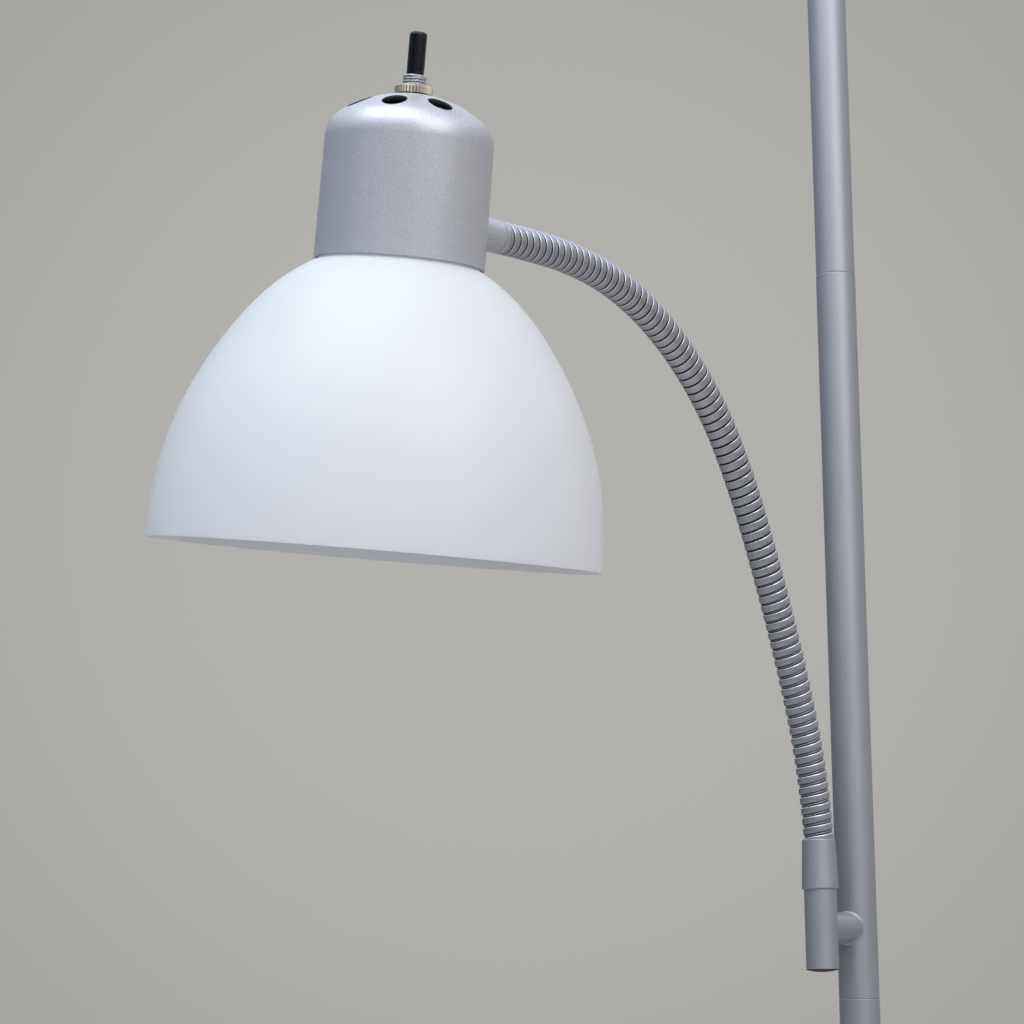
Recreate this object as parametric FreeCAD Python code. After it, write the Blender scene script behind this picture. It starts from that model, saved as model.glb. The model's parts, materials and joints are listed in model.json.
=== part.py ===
import FreeCAD, Part
import math
import os

# Torchiere floor lamp with a reading light on a flexible arm. Millimetres, +Z up.
# Origin: centre of the foot's underside, on the floor, on the pole's axis.
# The arm lies in the XZ plane and reaches towards -X.

# ---------------------------------------------------------------- driving dimensions

# Pole: four screwed sections of steel tube, listed from the foot up
POLE_DIAMETER = 19.0
TOP_SECTION_DIAMETER = POLE_DIAMETER - 0.3
POLE_WALL = 1.0
SECTION_LENGTHS = (400.0, 401.0, 349.0, 400.0)
ARM_SECTION = 2
TUBE_EDGE_RADIUS = 0.4
INSERT_LENGTH = 14.0
POLE_STUD_DIAMETER = POLE_DIAMETER - 7.0
POLE_STUD_BORE = POLE_STUD_DIAMETER - 3.0
POLE_STUD_LENGTH = 24.0
STUD_SETBACK = 1.0

# Foot: a spun steel cover over a cast weight
FOOT_DIAMETER = 250.0
FOOT_SIDE_HEIGHT = 15.0
FOOT_HEIGHT = 30.0
FOOT_SHOULDER_RADIUS = 7.0
COVER_WALL = 1.0
COVER_LIFT = 1.0
PAD_DIAMETER = FOOT_DIAMETER - 18.0
PAD_THICKNESS = 2.5
WEIGHT_DIAMETER = FOOT_DIAMETER - 36.0
WEIGHT_THICKNESS = FOOT_SIDE_HEIGHT - COVER_WALL
FOOT_NUT_DIAMETER = POLE_STUD_DIAMETER + 9.0
FOOT_NUT_THICKNESS = 4.0
FOOT_WASHER_DIAMETER = POLE_STUD_DIAMETER + 18.0
FOOT_WASHER_THICKNESS = 1.6
WEIGHT_RECESS_DIAMETER = FOOT_WASHER_DIAMETER + 6.0
WEIGHT_RECESS_DEPTH = 9.0
FOOT_COLLAR_DIAMETER = POLE_DIAMETER + 13.0
FOOT_COLLAR_HEIGHT = 9.0
FOOT_COLLAR_EDGE_RADIUS = 3.6

# Cord inlet in the side of the foot
INLET_HEIGHT = FOOT_SIDE_HEIGHT / 2
INLET_BODY_DIAMETER = 8.4
INLET_FLANGE_DIAMETER = INLET_BODY_DIAMETER + 2.6
INLET_BORE = INLET_BODY_DIAMETER - 2.8
INLET_LENGTH = 11.0
INLET_FLANGE_THICKNESS = 2.0

# Flexible arm: ribbed tube in short links, bent as it is set
ARM_DIAMETER = 14.0
GROOVE_DIAMETER = ARM_DIAMETER - 1.8
ARM_BORE = GROOVE_DIAMETER - 5.2
RIB_PITCH = 4.515
RIBS_PER_LINK = 7
RIB_GROOVE = 1.115
RIB_FLANK = 0.4
BEND_RANGE = 7.5
LINK_CLEARANCE = 0.1
ARM_START_TILT = 4.9
LINK_TURNS = (7.2, 6.9, 3.1, 2.5, 2.65, 6.85, 12.0, 11.45, 11.95, 12.0, 8.5, 2.2)

# Side mount of the arm
RECEIVER_DIAMETER = ARM_DIAMETER + 1.2
RECEIVER_WALL = 1.0
RECEIVER_BELOW_STUB = 19.3
STUB_HEIGHT_ON_SECTION = 33.0
STUB_DIAMETER = RECEIVER_DIAMETER - 0.9
STUB_WALL = 1.5
STUB_SPAN = 14.35
COLLAR_ABOVE_STUB = 17.5
COLLAR_HEIGHT = 23.0
COLLAR_FOOT_DIAMETER = RECEIVER_DIAMETER + 2.0
COLLAR_TOP_DIAMETER = ARM_DIAMETER + 1.5
COLLAR_OVERLAP = 6.0
COLLAR_EDGE_RADIUS = 0.5
PLUG_HEAD_HEIGHT = 1.0
PLUG_STEM_LENGTH = 9.0
PLUG_RIM_HEIGHT = 0.3
SPIGOT_LENGTH = 36.0
SPIGOT_BORE = RECEIVER_DIAMETER - 6.2

# Neck between the arm and the reading light's cap
NECK_DIAMETER = ARM_DIAMETER - 0.8
NECK_WALL = 1.5
NECK_EXPOSED = 31.7
NECK_HEIGHT = 20.7
NECK_INSIDE = 6.0
NECK_NUT_DIAMETER = NECK_DIAMETER + 5.8
NECK_NUT_THICKNESS = 3.0
HEAD_ROLL = 8.8

# Pressed cap, the same part on the reading light and on the torchiere
CAP_MOUTH_DIAMETER = 69.5
CAP_SHOULDER_DIAMETER = CAP_MOUTH_DIAMETER - 0.8
CAP_HEIGHT = 69.4
CAP_DOME_RADIUS = 49.9
CAP_SHOULDER_RADIUS = 14.0
CAP_WALL = 1.0
VENT_COUNT = 8
VENT_DIAMETER = 10.0
VENT_RING_RADIUS = CAP_SHOULDER_DIAMETER / 2 - 10.5

# Bulbs
BULB_CAP_DIAMETER = 26.0
BULB_CAP_LENGTH = 25.0
BULB_NECK_DIAMETER = BULB_CAP_DIAMETER + 2.0
BULB_DIAMETER = 60.0
BULB_TIP_TAPER = 4.0
BULB_NECK_TAPER = 2.0
BULB_SHOULDER_ANGLE = 35.0
BULB_WAIST = 2.5
BULB_LENGTH = 107.0

# Screw lampholder, the same part in both lamps
SHELL_WALL = 0.4
SHELL_OUTER = BULB_CAP_DIAMETER + 1.2 + 2 * SHELL_WALL
SHELL_LENGTH = 26.0
SHELL_SETBACK = 2.0
SOCKET_BORE = SHELL_OUTER + 0.2
SOCKET_BORE_DEPTH = 30.0
SOCKET_DIAMETER = SOCKET_BORE + 4.6
SOCKET_LENGTH = CAP_HEIGHT - 12.5
SOCKET_SHOULDER = 18.0
SOCKET_FLANGE_DIAMETER = SOCKET_DIAMETER + 6.2
SOCKET_FLANGE_THICKNESS = 3.0
CONTACT_DIAMETER = 9.0
CONTACT_HEIGHT = 2.0
HANGER_DIAMETER = 12.0
HANGER_BORE = 7.0

# Rotary switch, the same part in both lamps
SWITCH_BODY_DIAMETER = 22.0
SWITCH_BODY_LENGTH = (CAP_MOUTH_DIAMETER - SOCKET_DIAMETER) / 2 - 4.3
SWITCH_BODY_BORE_DEPTH = 6.0
BUSHING_DIAMETER = 9.7
BUSHING_BORE = BUSHING_DIAMETER - 3.6
BUSHING_ABOVE_NUT = 4.6
THREAD_PITCH = 1.15
THREAD_DEPTH = 0.35
NUT_DIAMETER = BUSHING_DIAMETER + 6.0
NUT_THICKNESS = 3.1
KNURL_COUNT = 36
KNURL_DEPTH = 0.45
KNOB_DIAMETER = 7.2
KNOB_LENGTH = 17.6
KNOB_END_RADIUS = 1.4
KNOB_SLOT_WIDTH = 0.8
KNOB_SLOT_DEPTH = 0.8
KNOB_SLOT_SPACING = KNOB_DIAMETER * 0.3
KNOB_LINE_HEIGHT = 1.5
KNOB_LINE_WIDTH = 0.5
KNOB_LINE_DEPTH = 0.25
KNOB_STEM_REACH = 5.0

# Shades: each flat top ring is clamped on the lampholder, just inside the cap's mouth.
# An outline is a list of shares: from the neck's radius to the rim's, and from the mouth to the rim.
SHADE_SEAT_DEPTH = 5.0
SHADE_NECK_RADIUS = CAP_MOUTH_DIAMETER / 2 - CAP_WALL - 0.7
SHADE_NECK_LIP = 1.0
SHADE_NECK_TAPER = 0.6
SHADE_WALL = 1.6
SHADE_RIM_DIAMETER = 184.6
SHADE_DEPTH = 118.0
SHADE_OUTLINE = (
    (0.0034, 0.0050),
    (0.3144, 0.1207),
    (0.5922, 0.2992),
    (0.8579, 0.5653),
    (0.9722, 0.8017),
    (1.0, 1.0),
)
BOWL_WALL = 2.0
BOWL_RIM_DIAMETER = 320.0
BOWL_DEPTH = 153.0
BOWL_OUTLINE = (
    (0.0016, 0.0039),
    (0.2733, 0.1242),
    (0.5577, 0.3007),
    (0.7867, 0.5359),
    (0.9289, 0.7712),
    (1.0, 1.0),
)
CLAMP_RING_DIAMETER = SOCKET_DIAMETER + 11.2
CLAMP_RING_THICKNESS = 4.5

# Torchiere mount
TORCHIERE_STUD_DIAMETER = 9.7
TORCHIERE_STUD_BORE = 5.0
TORCHIERE_NUT_DIAMETER = TORCHIERE_STUD_DIAMETER + 8.3
TORCHIERE_NUT_THICKNESS = 3.5
TORCHIERE_SWITCH_HEIGHT = 27.0

# Leads inside the pole
LEAD_DIAMETER = 3.6
LEAD_OFFSET = 2.1
LEAD_BEND_RADIUS = 8.0
LEAD_PORT_DIAMETER = 9.0

# Clearances, on radius
SEAT_CLEARANCE = 0.05
RUNNING_CLEARANCE = 0.05
LOOSE_CLEARANCE = 0.25
FACE_CLEARANCE = 0.3

# ---------------------------------------------------------------- derived places

POLE_BASE = FOOT_HEIGHT
SECTION_FEET = [POLE_BASE + sum(SECTION_LENGTHS[:i]) for i in range(len(SECTION_LENGTHS))]
POLE_TOP = POLE_BASE + sum(SECTION_LENGTHS)
STUB_Z = SECTION_FEET[ARM_SECTION] + STUB_HEIGHT_ON_SECTION
COLLAR_FOOT_Z = STUB_Z + COLLAR_ABOVE_STUB
COLLAR_TOP_Z = COLLAR_FOOT_Z + COLLAR_HEIGHT
RECEIVER_FOOT_Z = STUB_Z - RECEIVER_BELOW_STUB
RECEIVER_TOP_Z = COLLAR_FOOT_Z + COLLAR_OVERLAP
LINK_LENGTH = RIB_PITCH * RIBS_PER_LINK
RIB_CREST = RIB_PITCH - RIB_GROOVE - 2 * RIB_FLANK
LINK_GAP = GROOVE_DIAMETER / 2 * math.sin(math.radians(BEND_RANGE)) + LINK_CLEARANCE
RECEIVER_REACH = POLE_DIAMETER / 2 + STUB_SPAN + RECEIVER_DIAMETER / 2
SECTION_DIAMETERS = [POLE_DIAMETER] * (len(SECTION_LENGTHS) - 1) + [TOP_SECTION_DIAMETER]
POLE_AXIS = FreeCAD.Vector(0, 0, 1)


# ---------------------------------------------------------------- helpers

def vector(x, y, z):
    return FreeCAD.Vector(x, y, z)


def around(radius, share, height):
    """Point on a circle about Z, a share of a full turn round from +X."""
    angle = 2 * math.pi * share
    return vector(radius * math.cos(angle), radius * math.sin(angle), height)


def disc(radius, foot, top):
    """Solid cylinder on the Z axis between two heights."""
    return Part.makeCylinder(radius, top - foot, vector(0, 0, foot))


def ring(outer, inner, foot, top):
    """Tube on the Z axis between two heights."""
    return disc(outer, foot, top).cut(disc(inner, foot - 1, top + 1))


def bar(radius, start, direction, length):
    """Solid cylinder from a point along a direction."""
    return Part.makeCylinder(radius, length, start, direction)


def revolved(edges):
    """Solid of revolution about Z from a closed outline in the XZ plane."""
    face = Part.Face(Part.Wire(Part.__sortEdges__(edges)))
    return face.revolve(vector(0, 0, 0), POLE_AXIS, 360)


def polyline(points):
    """Straight edges through (radius, height) points, not closed."""
    corners = [vector(r, 0, z) for r, z in points]
    return [Part.LineSegment(a, b).toShape() for a, b in zip(corners, corners[1:])]


def turned(points):
    """Solid of revolution with straight sides from (radius, height) corners."""
    return revolved(polyline(points + (points[0],)))


def rims(solid, radius, height, reach=0.01):
    """Circular edges of a solid at one radius and height."""
    found = []
    for edge in solid.Edges:
        if edge.Degenerated or not isinstance(edge.Curve, Part.Circle):
            continue
        curve = edge.Curve
        same_radius = abs(curve.Radius - radius) < reach
        if same_radius and abs(curve.Center.z - height) < reach:
            found.append(edge)
    return found


def rounded(solid, size, radius, height):
    """The solid with the rim at one radius and height rounded."""
    return solid.makeFillet(size, rims(solid, radius, height))


def bevelled(solid, size, radius, height):
    """The solid with the rim at one radius and height chamfered."""
    return solid.makeChamfer(size, rims(solid, radius, height))


def dome_radius_of(width, rise):
    """Radius of a dome that rises by a height over a half width."""
    return (width ** 2 + rise ** 2) / (2 * rise)


def dome_arc(width, foot, crown):
    """Arc in the XZ plane from (width, foot) to (0, crown), level at its crown."""
    radius = dome_radius_of(width, abs(crown - foot))
    drop = radius - math.sqrt(radius ** 2 - (width / 2) ** 2)
    half_way = crown - math.copysign(drop, crown - foot)
    return Part.Arc(vector(width, 0, foot), vector(width / 2, 0, half_way), vector(0, 0, crown)).toShape()


def placed(shape, placement):
    """A copy of a shape moved to a placement."""
    moved = shape.copy()
    moved.Placement = placement.multiply(moved.Placement)
    return moved


# ---------------------------------------------------------------- foot

def cover_solid(radius, side_height, height, shoulder):
    """Outer form of the dished cover: an upright side, then a low dome."""
    edges = polyline(((0, height), (0, COVER_LIFT), (radius, COVER_LIFT), (radius, side_height)))
    edges.append(dome_arc(radius, side_height, height))
    return rounded(revolved(edges), shoulder, radius, side_height)


def foot_cover():
    radius = FOOT_DIAMETER / 2
    hole = POLE_STUD_DIAMETER / 2 + LOOSE_CLEARANCE
    outer = cover_solid(radius, FOOT_SIDE_HEIGHT, FOOT_HEIGHT, FOOT_SHOULDER_RADIUS)
    inner = cover_solid(
        radius - COVER_WALL,
        FOOT_SIDE_HEIGHT - COVER_WALL,
        FOOT_HEIGHT - COVER_WALL,
        FOOT_SHOULDER_RADIUS - COVER_WALL,
    )
    shell = outer.cut(inner)
    shell = shell.cut(disc(hole, 0, FOOT_HEIGHT + 1))
    inlet = bar(
        INLET_BODY_DIAMETER / 2 + SEAT_CLEARANCE,
        vector(radius - 10, 0, INLET_HEIGHT),
        vector(1, 0, 0),
        20,
    )
    return shell.cut(inlet)


def foot_weight():
    foot = PAD_THICKNESS
    top = foot + WEIGHT_THICKNESS
    recess = foot + WEIGHT_RECESS_DEPTH
    weight = disc(WEIGHT_DIAMETER / 2, foot, top)
    weight = weight.cut(disc(WEIGHT_RECESS_DIAMETER / 2, foot - 1, recess))
    return weight.cut(disc(POLE_STUD_DIAMETER / 2 + LOOSE_CLEARANCE, 0, top + 1))


def foot_pad():
    return disc(PAD_DIAMETER / 2, 0, PAD_THICKNESS)


def foot_spacer():
    """Tube round the stud that carries the cover's crown on the weight."""
    foot = PAD_THICKNESS + WEIGHT_THICKNESS
    outer = FOOT_COLLAR_DIAMETER / 2
    dome = dome_radius_of(FOOT_DIAMETER / 2 - COVER_WALL, FOOT_HEIGHT - FOOT_SIDE_HEIGHT)
    drop = dome - math.sqrt(dome ** 2 - outer ** 2)
    top = FOOT_HEIGHT - COVER_WALL - drop - SEAT_CLEARANCE
    return ring(outer, POLE_STUD_DIAMETER / 2 + LOOSE_CLEARANCE, foot, top)


def foot_collar():
    outer = FOOT_COLLAR_DIAMETER / 2
    foot = FOOT_HEIGHT
    top = foot + FOOT_COLLAR_HEIGHT
    collar = ring(outer, POLE_DIAMETER / 2 + SEAT_CLEARANCE, foot, top)
    return rounded(collar, FOOT_COLLAR_EDGE_RADIUS, outer, top)


def foot_stud():
    foot = PAD_THICKNESS + STUD_SETBACK
    top = POLE_BASE + INSERT_LENGTH - STUD_SETBACK
    return ring(POLE_STUD_DIAMETER / 2, POLE_STUD_BORE / 2, foot, top)


def hexagon_nut(across_corners, bore, foot, thickness):
    corners = [around(across_corners / 2, corner / 6, foot) for corner in range(7)]
    face = Part.Face(Part.makePolygon(corners))
    body = face.extrude(vector(0, 0, thickness))
    return body.cut(disc(bore / 2, foot - 1, foot + thickness + 1))


def foot_washer():
    top = PAD_THICKNESS + WEIGHT_RECESS_DEPTH
    foot = top - FOOT_WASHER_THICKNESS
    return ring(FOOT_WASHER_DIAMETER / 2, POLE_STUD_DIAMETER / 2 + LOOSE_CLEARANCE, foot, top)


def foot_nut():
    top = PAD_THICKNESS + WEIGHT_RECESS_DEPTH - FOOT_WASHER_THICKNESS
    bore = POLE_STUD_DIAMETER + 2 * SEAT_CLEARANCE
    return hexagon_nut(FOOT_NUT_DIAMETER, bore, top - FOOT_NUT_THICKNESS, FOOT_NUT_THICKNESS)


def cord_inlet():
    wall = FOOT_DIAMETER / 2
    start = vector(wall + INLET_FLANGE_THICKNESS - INLET_LENGTH, 0, INLET_HEIGHT)
    outwards = vector(1, 0, 0)
    body = bar(INLET_BODY_DIAMETER / 2, start, outwards, INLET_LENGTH)
    flange_foot = vector(wall + SEAT_CLEARANCE, 0, INLET_HEIGHT)
    flange = bar(INLET_FLANGE_DIAMETER / 2, flange_foot, outwards, INLET_FLANGE_THICKNESS)
    bore = bar(INLET_BORE / 2, start - outwards, outwards, INLET_LENGTH + INLET_FLANGE_THICKNESS + 2)
    return body.fuse(flange).removeSplitter().cut(bore)


# ---------------------------------------------------------------- pole

def pole_section(index):
    outer = SECTION_DIAMETERS[index] / 2
    foot = SECTION_FEET[index]
    top = foot + SECTION_LENGTHS[index]
    tube = ring(outer, outer - POLE_WALL, foot, top)
    tube = rounded(tube, TUBE_EDGE_RADIUS, outer, foot)
    tube = rounded(tube, TUBE_EDGE_RADIUS, outer, top)
    if index == ARM_SECTION:
        port = bar(LEAD_PORT_DIAMETER / 2, vector(0, 0, STUB_Z), vector(-1, 0, 0), outer + 1)
        tube = tube.cut(port)
    return tube


def pole_inserts():
    inserts = []
    hole = POLE_STUD_DIAMETER / 2 + SEAT_CLEARANCE
    for index, foot in enumerate(SECTION_FEET):
        outer = SECTION_DIAMETERS[index] / 2 - POLE_WALL - SEAT_CLEARANCE
        top = foot + SECTION_LENGTHS[index]
        inserts.append(ring(outer, hole, foot + FACE_CLEARANCE / 2, foot + INSERT_LENGTH))
        last = index == len(SECTION_FEET) - 1
        upper_hole = TORCHIERE_STUD_DIAMETER / 2 + SEAT_CLEARANCE if last else hole
        inserts.append(ring(outer, upper_hole, top - INSERT_LENGTH, top - FACE_CLEARANCE / 2))
    return Part.makeCompound(inserts)


def pole_studs():
    half = POLE_STUD_LENGTH / 2
    joints = SECTION_FEET[1:]
    studs = [ring(POLE_STUD_DIAMETER / 2, POLE_STUD_BORE / 2, z - half, z + half) for z in joints]
    return Part.makeCompound(studs)


# ---------------------------------------------------------------- side mount of the arm

def at_receiver(shape):
    """A shape made on the pole's axis, moved to the receiver's axis."""
    moved = shape.copy()
    moved.translate(vector(-RECEIVER_REACH, 0, 0))
    return moved


def cross_stub():
    towards = vector(-1, 0, 0)
    start = vector(0, 0, STUB_Z)
    stub = bar(STUB_DIAMETER / 2, start, towards, RECEIVER_REACH)
    stub = stub.cut(bar(STUB_DIAMETER / 2 - STUB_WALL, start, towards, RECEIVER_REACH))
    pole = disc(POLE_DIAMETER / 2 + SEAT_CLEARANCE, STUB_Z - 20, STUB_Z + 20)
    receiver = at_receiver(disc(RECEIVER_DIAMETER / 2 + SEAT_CLEARANCE, STUB_Z - 20, STUB_Z + 20))
    return stub.cut(pole).cut(receiver)


def receiver_tube():
    outer = RECEIVER_DIAMETER / 2
    tube = ring(outer, outer - RECEIVER_WALL, RECEIVER_FOOT_Z, RECEIVER_TOP_Z)
    tube = at_receiver(tube)
    return tube.cut(bar(LEAD_PORT_DIAMETER / 2, vector(0, 0, STUB_Z), vector(-1, 0, 0), RECEIVER_REACH))


def receiver_plug():
    """Domed plastic plug in the open foot of the receiver."""
    head = RECEIVER_DIAMETER / 2
    stem = head - RECEIVER_WALL - SEAT_CLEARANCE
    rim = RECEIVER_FOOT_Z - PLUG_RIM_HEIGHT
    crown = rim - PLUG_HEAD_HEIGHT
    edges = [dome_arc(head, rim, crown)]
    edges += polyline(((0, crown), (0, RECEIVER_FOOT_Z + PLUG_STEM_LENGTH)))
    edges += polyline(
        (
            (0, RECEIVER_FOOT_Z + PLUG_STEM_LENGTH),
            (stem, RECEIVER_FOOT_Z + PLUG_STEM_LENGTH),
            (stem, RECEIVER_FOOT_Z),
            (head, RECEIVER_FOOT_Z),
            (head, rim),
        )
    )
    return at_receiver(revolved(edges))


def arm_spigot():
    """Hollow screwed stem that holds the arm's end in the receiver and the collar."""
    top = COLLAR_TOP_Z - FACE_CLEARANCE
    outer = RECEIVER_DIAMETER / 2 - RECEIVER_WALL - SEAT_CLEARANCE
    return at_receiver(ring(outer, SPIGOT_BORE / 2, top - SPIGOT_LENGTH, top))


def arm_collar():
    foot_radius = COLLAR_FOOT_DIAMETER / 2
    top_radius = COLLAR_TOP_DIAMETER / 2
    collar = Part.makeCone(foot_radius, top_radius, COLLAR_HEIGHT, vector(0, 0, COLLAR_FOOT_Z))
    collar = rounded(collar, COLLAR_EDGE_RADIUS, foot_radius, COLLAR_FOOT_Z)
    collar = rounded(collar, COLLAR_EDGE_RADIUS, top_radius, COLLAR_TOP_Z)
    socket = disc(RECEIVER_DIAMETER / 2 + SEAT_CLEARANCE, COLLAR_FOOT_Z - 1, RECEIVER_TOP_Z)
    bore = disc(RECEIVER_DIAMETER / 2 - RECEIVER_WALL, COLLAR_FOOT_Z, COLLAR_TOP_Z + 1)
    return at_receiver(collar.cut(socket).cut(bore))


# ---------------------------------------------------------------- flexible arm

def along_link(start, turn, distance):
    """Place at a distance along a link that turns evenly from a start of (x, z, tilt)."""
    x, z, tilt = start
    if abs(turn) < 1e-6:
        return x - distance * math.sin(tilt), z + distance * math.cos(tilt), tilt
    curvature = turn / LINK_LENGTH
    end = tilt + curvature * distance
    return (
        x + (math.cos(end) - math.cos(tilt)) / curvature,
        z + (math.sin(end) - math.sin(tilt)) / curvature,
        end,
    )


def link_starts():
    """The (x, z, tilt) at the foot of each link, and at the arm's end."""
    places = [(-RECEIVER_REACH, COLLAR_TOP_Z, math.radians(ARM_START_TILT))]
    for turn in LINK_TURNS:
        places.append(along_link(places[-1], math.radians(turn), LINK_LENGTH))
    return places


def arm_circle(place, radius):
    """Circle square to the arm at a place, its X axis kept in the arm's plane."""
    x, z, tilt = place
    circle = Part.Wire(Part.makeCircle(radius))
    turned_up = FreeCAD.Rotation(vector(0, 1, 0), -math.degrees(tilt))
    circle.Placement = FreeCAD.Placement(vector(x, 0, z), turned_up)
    return circle


def rib_stations():
    """Distance and radius of the circles of a link's ribs, four to a rib."""
    groove = RIB_GROOVE / 2
    stations = []
    for rib in range(RIBS_PER_LINK):
        foot = rib * RIB_PITCH
        stations.append((foot + groove, GROOVE_DIAMETER / 2))
        stations.append((foot + groove + RIB_FLANK, ARM_DIAMETER / 2))
        stations.append((foot + groove + RIB_FLANK + RIB_CREST, ARM_DIAMETER / 2))
        stations.append((foot + RIB_PITCH - groove, GROOVE_DIAMETER / 2))
    first = (LINK_GAP / 2, GROOVE_DIAMETER / 2)
    last = (LINK_LENGTH - LINK_GAP / 2, GROOVE_DIAMETER / 2)
    return [first] + stations + [last]


def arm_link(start, turn):
    """One link: a ruled loft through its ribs, with a plain bore."""
    circles = [arm_circle(along_link(start, turn, d), r) for d, r in rib_stations()]
    ribs = Part.makeLoft(circles, True, True)
    steps = RIBS_PER_LINK + 1
    bore = []
    for step in range(steps + 1):
        distance = LINK_LENGTH * step / steps
        bore.append(arm_circle(along_link(start, turn, distance), ARM_BORE / 2))
    return ribs.cut(Part.makeLoft(bore, True, True))


# ---------------------------------------------------------------- pressed cap

def cap_form(mouth, shoulder, height, dome_radius, corner):
    """Outer form of the cap, mouth down at height 0: a slight taper, then a dome."""
    drop = dome_radius - math.sqrt(dome_radius ** 2 - shoulder ** 2)
    side_top = height - drop
    edges = polyline(((0, height), (0, 0), (mouth, 0), (shoulder, side_top)))
    edges.append(dome_arc(shoulder, side_top, height))
    return rounded(revolved(edges), corner, shoulder, side_top)


def pressed_cap():
    """Cap with its crown hole and vents, mouth down at height 0."""
    mouth = CAP_MOUTH_DIAMETER / 2
    shoulder = CAP_SHOULDER_DIAMETER / 2
    outer = cap_form(mouth, shoulder, CAP_HEIGHT, CAP_DOME_RADIUS, CAP_SHOULDER_RADIUS)
    inner = cap_form(
        mouth - CAP_WALL,
        shoulder - CAP_WALL,
        CAP_HEIGHT - CAP_WALL,
        CAP_DOME_RADIUS - CAP_WALL,
        CAP_SHOULDER_RADIUS - CAP_WALL,
    )
    cap = outer.cut(inner)
    cap = cap.cut(disc(BUSHING_DIAMETER / 2 + LOOSE_CLEARANCE, CAP_HEIGHT / 2, CAP_HEIGHT + 1))
    for vent in range(VENT_COUNT):
        centre = around(VENT_RING_RADIUS, (vent + 0.5) / VENT_COUNT, CAP_HEIGHT / 2)
        cap = cap.cut(bar(VENT_DIAMETER / 2, centre, vector(0, 0, 1), CAP_HEIGHT))
    return cap


def cap_radius_at(height):
    """Outer radius of the cap's tapered side at a height above its mouth."""
    drop = CAP_DOME_RADIUS - math.sqrt(CAP_DOME_RADIUS ** 2 - (CAP_SHOULDER_DIAMETER / 2) ** 2)
    share = height / (CAP_HEIGHT - drop)
    return (CAP_MOUTH_DIAMETER + (CAP_SHOULDER_DIAMETER - CAP_MOUTH_DIAMETER) * share) / 2


# ---------------------------------------------------------------- rotary switch
# Made on Z, with height 0 on the outside of the wall that it is fixed in.

def knob_stem_radius():
    return BUSHING_BORE / 2 - RUNNING_CLEARANCE


def switch_body(wall):
    top = -wall
    foot = top - SWITCH_BODY_LENGTH
    body = disc(SWITCH_BODY_DIAMETER / 2, foot, top)
    return body.cut(disc(knob_stem_radius() + LOOSE_CLEARANCE, top - SWITCH_BODY_BORE_DEPTH, top + 1))


def switch_bushing(wall):
    outer = BUSHING_DIAMETER / 2
    top = NUT_THICKNESS + BUSHING_ABOVE_NUT
    bushing = bevelled(disc(outer, -wall, top), THREAD_DEPTH, outer, top)
    thread_foot = NUT_THICKNESS + THREAD_PITCH / 2
    for turn in range(int((BUSHING_ABOVE_NUT - THREAD_DEPTH) / THREAD_PITCH)):
        height = thread_foot + turn * THREAD_PITCH
        half = THREAD_PITCH * 0.3
        groove = turned(
            ((outer + 1, height - half - 1), (outer - THREAD_DEPTH, height), (outer + 1, height + half + 1))
        )
        bushing = bushing.cut(groove)
    return bushing.cut(disc(BUSHING_BORE / 2, -wall - 1, top + 1))


def switch_nut():
    """Round nut with a straight knurl."""
    outer = NUT_DIAMETER / 2
    points = []
    for tooth in range(KNURL_COUNT):
        for half, radius in ((0.0, outer), (0.5, outer - KNURL_DEPTH)):
            points.append(around(radius, (tooth + half) / KNURL_COUNT, 0))
    points.append(points[0])
    knurled = Part.Face(Part.makePolygon(points)).extrude(vector(0, 0, NUT_THICKNESS))
    edge = KNURL_DEPTH
    blank = bevelled(disc(outer, 0, NUT_THICKNESS), edge, outer, NUT_THICKNESS)
    nut = knurled.common(blank)
    return nut.cut(disc(BUSHING_DIAMETER / 2 + SEAT_CLEARANCE, -1, NUT_THICKNESS + 1))


def switch_knob(wall):
    """Turning knob with a round, twice slotted end, on a stem that runs in the bushing."""
    foot = NUT_THICKNESS + BUSHING_ABOVE_NUT + FACE_CLEARANCE
    top = foot + KNOB_LENGTH
    radius = KNOB_DIAMETER / 2
    grip = rounded(disc(radius, foot, top), KNOB_END_RADIUS, radius, top)
    for side in (-1, 1):
        corner = vector(-radius, (side * KNOB_SLOT_SPACING - KNOB_SLOT_WIDTH) / 2, top - KNOB_SLOT_DEPTH)
        grip = grip.cut(Part.makeBox(KNOB_DIAMETER, KNOB_SLOT_WIDTH, KNOB_SLOT_DEPTH + 1, corner))
    line_foot = foot + KNOB_LINE_HEIGHT
    grip = grip.cut(ring(radius + 1, radius - KNOB_LINE_DEPTH, line_foot, line_foot + KNOB_LINE_WIDTH))
    stem = disc(knob_stem_radius(), -wall - KNOB_STEM_REACH, foot)
    return grip.fuse(stem).removeSplitter()


def crown_wall():
    """Depth from the cap's crown to the flat underside that the switch sits against."""
    inner_dome = CAP_DOME_RADIUS - CAP_WALL
    drop = inner_dome - math.sqrt(inner_dome ** 2 - (SWITCH_BODY_DIAMETER / 2) ** 2)
    return CAP_WALL + drop + SEAT_CLEARANCE


# ---------------------------------------------------------------- lampholder and bulb
# Made on Z pointing out of the holder, with height 0 at the cap's mouth.

def lampholder_back():
    """Distance from the cap's mouth back to the lampholder's closed end."""
    return SOCKET_LENGTH - SOCKET_SHOULDER + SHADE_SEAT_DEPTH


def lampholder():
    seat = -SHADE_SEAT_DEPTH
    mouth = SOCKET_SHOULDER - SHADE_SEAT_DEPTH
    body = disc(SOCKET_DIAMETER / 2, -lampholder_back(), mouth)
    flange = disc(SOCKET_FLANGE_DIAMETER / 2, seat - SOCKET_FLANGE_THICKNESS, seat)
    bore = disc(SOCKET_BORE / 2, mouth - SOCKET_BORE_DEPTH, mouth + 1)
    return body.fuse(flange).removeSplitter().cut(bore)


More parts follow.
